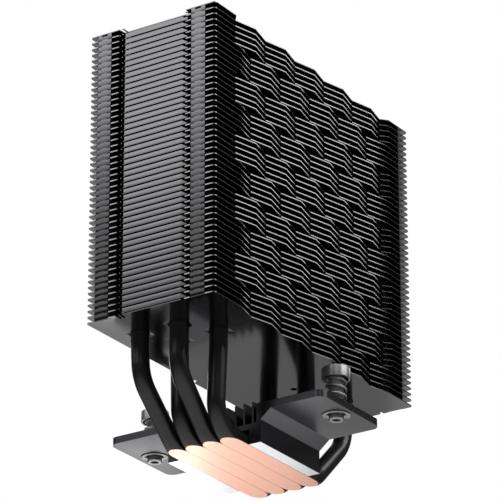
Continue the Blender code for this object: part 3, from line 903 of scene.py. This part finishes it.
# %% Edges and finish of the base
EDGE_BEVEL = 0.18 * MM
apply_modifier(base, "BEVEL", width=EDGE_BEVEL, segments=2, limit_method="ANGLE",
               angle_limit=math.radians(25), use_clamp_overlap=True)
base.data.materials.clear()
base.data.materials.append(black_anodised)
base.data.materials.append(milled_aluminium)
for face in base.data.polygons:
    spot = near(face.center.z, WING_UNDER + SPOT_DEPTH)
    face.material_index = int(face.normal.z < -0.9 and (face.center.z < TINY or spot))
select_only(base)
bpy.ops.object.shade_smooth_by_angle(angle=math.radians(20))
hand_over(base, "cooler", "base", "base_block")
print("the base has", len(base.data.polygons), "faces with its bevels")

# %% [markdown]
# ## Spring nuts
#
# A spring nut is turned on a lathe: a cup-shaped head, whose rim hides the end of the spring,
# and a hollow shaft with a groove for the retaining clip. A circle is extruded ring by ring
# along the profile, from the middle of the head's top to the bottom of the bore, and a cross
# is cut in the head for the driver.

# %% Growing a turned piece
def turned(name, rings, sides=48):
    """A piece turned about Z: rings are (radius, height) in mm, the first and last closed."""
    deselect()
    r, z = rings[0]
    bpy.ops.mesh.primitive_circle_add(vertices=sides, radius=r * MM, location=(0, 0, z * MM))
    piece = settle(added(name))
    edit(piece)
    pick("edges", lambda e: True)
    bpy.ops.mesh.edge_face_add()
    pick("edges", lambda e: True)
    for (r_from, z_from), (r_to, z_to) in zip(rings, rings[1:]):
        bpy.ops.mesh.extrude_edges_move(
            TRANSFORM_OT_translate={"value": (0, 0, (z_to - z_from) * MM)})
        bpy.ops.transform.resize(value=(r_to / r_from, r_to / r_from, 1),
                                 center_override=(0, 0, z_to * MM))
    bpy.ops.mesh.edge_face_add()
    bpy.ops.mesh.select_all(action="SELECT")
    bpy.ops.mesh.normals_make_consistent(inside=False)
    leave_edit()
    return piece


NUT_RINGS = [
    (4.25, 26.9), (4.5, 26.85), (4.65, 26.7), (4.7, 26.5), (4.7, 23.35), (4.62, 23.22), (4.5, 23.2),
    (4.18, 23.2), (4.05, 23.3), (4.05, 24.7), (3.95, 24.8), (2.55, 24.8), (2.5, 24.7),
    (2.5, 11.1), (2.42, 10.97), (2.05, 10.97), (2.0, 10.93), (2.0, 10.52), (2.05, 10.47),
    (2.42, 10.47), (2.5, 10.4), (2.5, 9.4), (2.2, 9.1), (1.45, 9.1), (1.25, 9.3), (1.25, 17.1),
]
nut = turned("spring_nut", NUT_RINGS)
print("the turned nut has", len(nut.data.polygons), "faces")

# %% Cross recess
RECESS_ARM, RECESS_WIDTH, RECESS_DEPTH = 5.2 * MM, 1.15 * MM, 1.9 * MM
RECESS_TAPER = (0.42, 0.75, 1)
RECESS_TURN = 20
HEAD_TOP = 26.9 * MM
for turn in (0, 90):
    deselect()
    bpy.ops.mesh.primitive_cube_add(size=1.0, location=(0, 0, HEAD_TOP))
    arm = added("recess_arm")
    bpy.ops.transform.resize(value=(RECESS_ARM, RECESS_WIDTH, 2 * RECESS_DEPTH))
    settle(arm)
    edit(arm)
    pick("faces", lambda f: f.normal.z < -0.9)
    bpy.ops.transform.resize(value=RECESS_TAPER, center_override=(0, 0, HEAD_TOP - RECESS_DEPTH))
    leave_edit()
    arm.rotation_euler.z = math.radians(turn + RECESS_TURN)
    settle(arm)
    cut_with(nut, arm)
nut.data.materials.clear()
nut.data.materials.append(bright_nickel)
select_only(nut)
bpy.ops.object.shade_smooth_by_angle(angle=math.radians(30))
nuts = {"front": nut, "rear": copy_of(nut, "rear_nut")}
nut.name = "front_nut"
for place_name, side in (("front", -1), ("rear", 1)):
    nuts[place_name].location.y = side * NUT_Y
    settle(nuts[place_name])
    hand_over(nuts[place_name], f"{place_name}_nut", "fasteners", f"{place_name}_spring_nut")
print("nuts:", [o.name for o in nuts.values()])

# %% [markdown]
# ## Retaining clips
#
# The clip is stamped spring steel: a ring that is open at one side, with three prongs that grip
# the groove. It is a disc with two rounded windows, one on each side of the middle prong, a
# hole a little wider than the groove's floor, and a wedge cut away for the mouth.

# %% The clip
CLIP_LOW, CLIP_HIGH = 10.6 * MM, 10.92 * MM
CLIP_MIDDLE = (CLIP_LOW + CLIP_HIGH) / 2
CLIP_RADIUS, WINDOW_RADIUS, GRIP_RADIUS = 4.65 * MM, 3.4 * MM, 2.12 * MM
MOUTH_TURN = math.radians(33)


def disc(name, radius, depth, sides=72):
    """A round bar about the nut's axis, at the height of the clip."""
    deselect()
    bpy.ops.mesh.primitive_cylinder_add(vertices=sides, radius=radius, depth=depth,
                                        location=(0, 0, CLIP_MIDDLE))
    return added(name)


def bar(name, x, length, width):
    """A straight bar along X, at the height of the clip."""
    deselect()
    bpy.ops.mesh.primitive_cube_add(size=1.0, location=(x, 0, CLIP_MIDDLE))
    piece = added(name)
    bpy.ops.transform.resize(value=(length, width, 4 * MM))
    return settle(piece)


clip = disc("clip", CLIP_RADIUS, CLIP_HIGH - CLIP_LOW)
windows = disc("clip_windows", WINDOW_RADIUS, 3 * MM)
cut_with(windows, bar("mouth_side", 4.5 * MM, 10 * MM, 10 * MM))
cut_with(windows, bar("middle_prong", -3.0 * MM, 6 * MM, 1.3 * MM))
cut_with(clip, windows)
cut_with(clip, disc("groove", GRIP_RADIUS, 3 * MM))
mouth = bar("mouth", 5.0 * MM, 10 * MM, 4.2 * MM)
edit(mouth)
pick("faces", lambda f: f.normal.x > 0.9)
bpy.ops.transform.resize(value=(1, 3.2, 1), center_override=(10 * MM, 0, CLIP_MIDDLE))
leave_edit()
cut_with(clip, mouth)
apply_modifier(clip, "BEVEL", width=0.08 * MM, segments=2, limit_method="ANGLE",
               angle_limit=math.radians(50))
clip.rotation_euler.z = MOUTH_TURN
settle(clip)
clip.data.materials.clear()
clip.data.materials.append(bright_nickel)
select_only(clip)
bpy.ops.object.shade_smooth_by_angle(angle=math.radians(30))
clips = {"front": clip, "rear": copy_of(clip, "rear_clip_ring")}
clip.name = "front_clip_ring"
for place_name, side in (("front", -1), ("rear", 1)):
    clips[place_name].location.y = side * NUT_Y
    settle(clips[place_name])
    hand_over(clips[place_name], f"{place_name}_clip", "fasteners", f"{place_name}_retaining_clip")
print("the clip has", len(clip.data.polygons), "faces")

# %% [markdown]
# ## Springs
#
# A coil spring is a round wire wound on a helix. The Screw modifier winds a small circle round
# an axis and lifts it as it goes. The rise is even all the way, so only the wire's two ends
# come near the wing and the head.

# %% Winding a spring
WIRE_RADIUS = 0.4 * MM
COIL_RADIUS = 3.2 * MM
SPRING_LOW, SPRING_HIGH = 13.45 * MM, 24.75 * MM
SPRING_TURNS = 4.0
SPRING_STEPS = round(40 * SPRING_TURNS)
deselect()
bpy.ops.mesh.primitive_circle_add(vertices=12, radius=WIRE_RADIUS,
                                  location=(COIL_RADIUS, 0, SPRING_LOW + WIRE_RADIUS),
                                  rotation=(math.radians(90), 0, 0))
spring = settle(added("spring"))
lift = SPRING_HIGH - SPRING_LOW - 2 * WIRE_RADIUS
apply_modifier(spring, "SCREW", axis="Z", angle=-math.tau * SPRING_TURNS, screw_offset=lift,
               steps=SPRING_STEPS, render_steps=SPRING_STEPS, use_smooth_shade=True)
edit(spring)
pick("edges", lambda e: e.is_boundary)
bpy.ops.mesh.edge_face_add()
bpy.ops.mesh.select_all(action="SELECT")
bpy.ops.mesh.normals_make_consistent(inside=False)
leave_edit()
heights = [v.co.z / MM for v in spring.data.vertices]
print("the spring reaches from", round(min(heights), 2), "to", round(max(heights), 2), "mm")

# %% Placing the springs
spring.data.materials.append(bright_nickel)
springs = {"front": spring, "rear": copy_of(spring, "rear_coil")}
spring.name = "front_coil"
for place_name, side in (("front", -1), ("rear", 1)):
    coil = springs[place_name]
    coil.location.y = side * NUT_Y
    settle(coil)
    hand_over(coil, "cooler", "fasteners", f"{place_name}_spring")
    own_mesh(coil)
print("springs:", [o.name for o in springs.values()])

# %% [markdown]
# ## Studio
#
# The cooler is seen from below, so the pale floor lies far under it, and is clear from beneath
# for a camera that looks up through it. Soft panels stand round the cooler: some for the zigzag
# edges and the corner beside them, a set for the short side, four low ones for the copper and
# the undersides, a large one overhead and one behind. The stepped ones start higher and higher,
# so the short side gets brighter towards its top. A dim room fills in the rest.

# %% Floor
deselect()
bpy.ops.mesh.primitive_plane_add(size=12.0, location=(0, 0, -0.7))
floor = added("pale_floor")
pale, tree, shader, _ = new_finish("pale_matt_floor", "e4e4e2", 0.0, 0.8)
facing = add_node(tree, "ShaderNodeNewGeometry").outputs["Backfacing"]
clear = add_node(tree, "ShaderNodeBsdfTransparent")
mix = add_node(tree, "ShaderNodeMixShader", (), {0: facing, 1: shader.outputs["BSDF"],
                                                 2: clear.outputs["BSDF"]})
tree.links.new(mix.outputs["Shader"], tree.nodes["Material Output"].inputs["Surface"])
floor.data.materials.append(pale)
print("the floor is", floor.location.z, "m below")

# %% Room and panels
world = bpy.data.worlds.new("studio")
bpy.context.scene.world = world
world.use_nodes = True
tree = world.node_tree
tree.nodes.clear()
seen = add_node(tree, "ShaderNodeLightPath").outputs["Is Camera Ray"]
room = add_node(tree, "ShaderNodeBackground", {"Color": from_hex("ffffff"), "Strength": 0.06})
backdrop = add_node(tree, "ShaderNodeBackground", {"Color": from_hex("ffffff"), "Strength": 1.0})
mix = add_node(tree, "ShaderNodeMixShader", (), {0: seen, 1: room.outputs["Background"],
                                                 2: backdrop.outputs["Background"]})
add_node(tree, "ShaderNodeOutputWorld", (), {"Surface": mix.outputs["Shader"]})


def add_panel(name, foot, turn, rise, distance, width, height, brightness):
    """A soft panel that faces the cooler, at a compass turn from +X and a rise, in degrees.

    The foot is the point of the cooler that the middle of the panel's lower edge faces.
    """
    lamp = bpy.data.lights.new(name, "AREA")
    lamp.shape = "RECTANGLE"
    lamp.size, lamp.size_y = width, height
    lamp.energy = brightness * width * height * 4
    obj = bpy.data.objects.new(name, lamp)
    bpy.context.scene.collection.objects.link(obj)
    aim = Euler((0, -math.radians(rise), math.radians(turn))).to_matrix()
    obj.location = Vector(foot) + aim @ Vector((distance, 0, height / 2))
    obj.rotation_euler = (aim @ Vector((1, 0, 0))).to_track_quat("Z", "Y").to_euler()
    obj.visible_camera = False


EDGE_FOOT, CORNER_FOOT = (0, -0.028, 0.03), (-0.06, -0.028, 0.03)
SIDE_AIM = (145.3, 23.4)
LOW_AIM = (33, -20.2)
add_panel("overhead_panel", (1.5, 0, 0), 0, 90, 2.5, 3.0, 3.0, 2.4)
add_panel("back_panel", (0, 0, -0.1), 45, 20, 1.2, 1.0, 0.9, 1.2)
add_panel("edge_panel", EDGE_FOOT, -62, 23, 1.0, 0.40, 0.5, 2.8)
add_panel("steep_panel", EDGE_FOOT, 0, 23, 1.0, 0.40, 0.5, 1.9)
add_panel("corner_panel", CORNER_FOOT, -86, 23, 1.0, 0.30, 0.5, 3.0)
add_panel("rounded_corner_panel", CORNER_FOOT, -140, 23, 1.3, 0.6, 0.5, 0.7)
add_panel("side_panel", (-0.06, -0.007, 0.013), *SIDE_AIM, 0.5, 0.6, 0.3, 0.55)
for k in range(4):
    add_panel(f"side_step_{k}", (-0.06, -0.007, 0.072 + 0.026 * k), *SIDE_AIM, 0.5, 0.6, 0.3, 0.35)
add_panel("copper_panel", (-0.0138, 0.0129, -0.0556), *LOW_AIM, 0.2, 0.083, 0.06, 0.75)
add_panel("copper_left_panel", (-0.0207, 0.0237, -0.0556), *LOW_AIM, 0.2, 0.028, 0.06, 2.1)
add_panel("low_left_panel", (-0.0371, 0.0571, -0.080), *LOW_AIM, 0.25, 0.08, 0.2, 0.25)
add_panel("low_right_panel", (0.08, -0.12, -0.3), *LOW_AIM, 0.5, 0.15, 0.5, 0.2)

# %% Camera
deselect()
camera = bpy.data.objects.new("camera", bpy.data.cameras.new("camera"))
bpy.context.scene.collection.objects.link(camera)
camera.location = (-0.9679, -0.6351, -0.4246)
RIGHT = Vector((0.54767, -0.83669, -0.00135))
UP = Vector((-0.33197, -0.21878, 0.91757))
BACK = Vector((-0.76802, -0.50208, -0.39757))
camera.rotation_euler = Matrix((RIGHT, UP, BACK)).transposed().to_euler()
camera.data.sensor_width = 36.0
camera.data.lens = 273.92
camera.data.clip_start, camera.data.clip_end = 0.05, 30.0
bpy.context.scene.camera = camera
bpy.context.scene.view_settings.view_transform = "Standard"
print("camera turned to", [round(math.degrees(a), 1) for a in camera.rotation_euler])
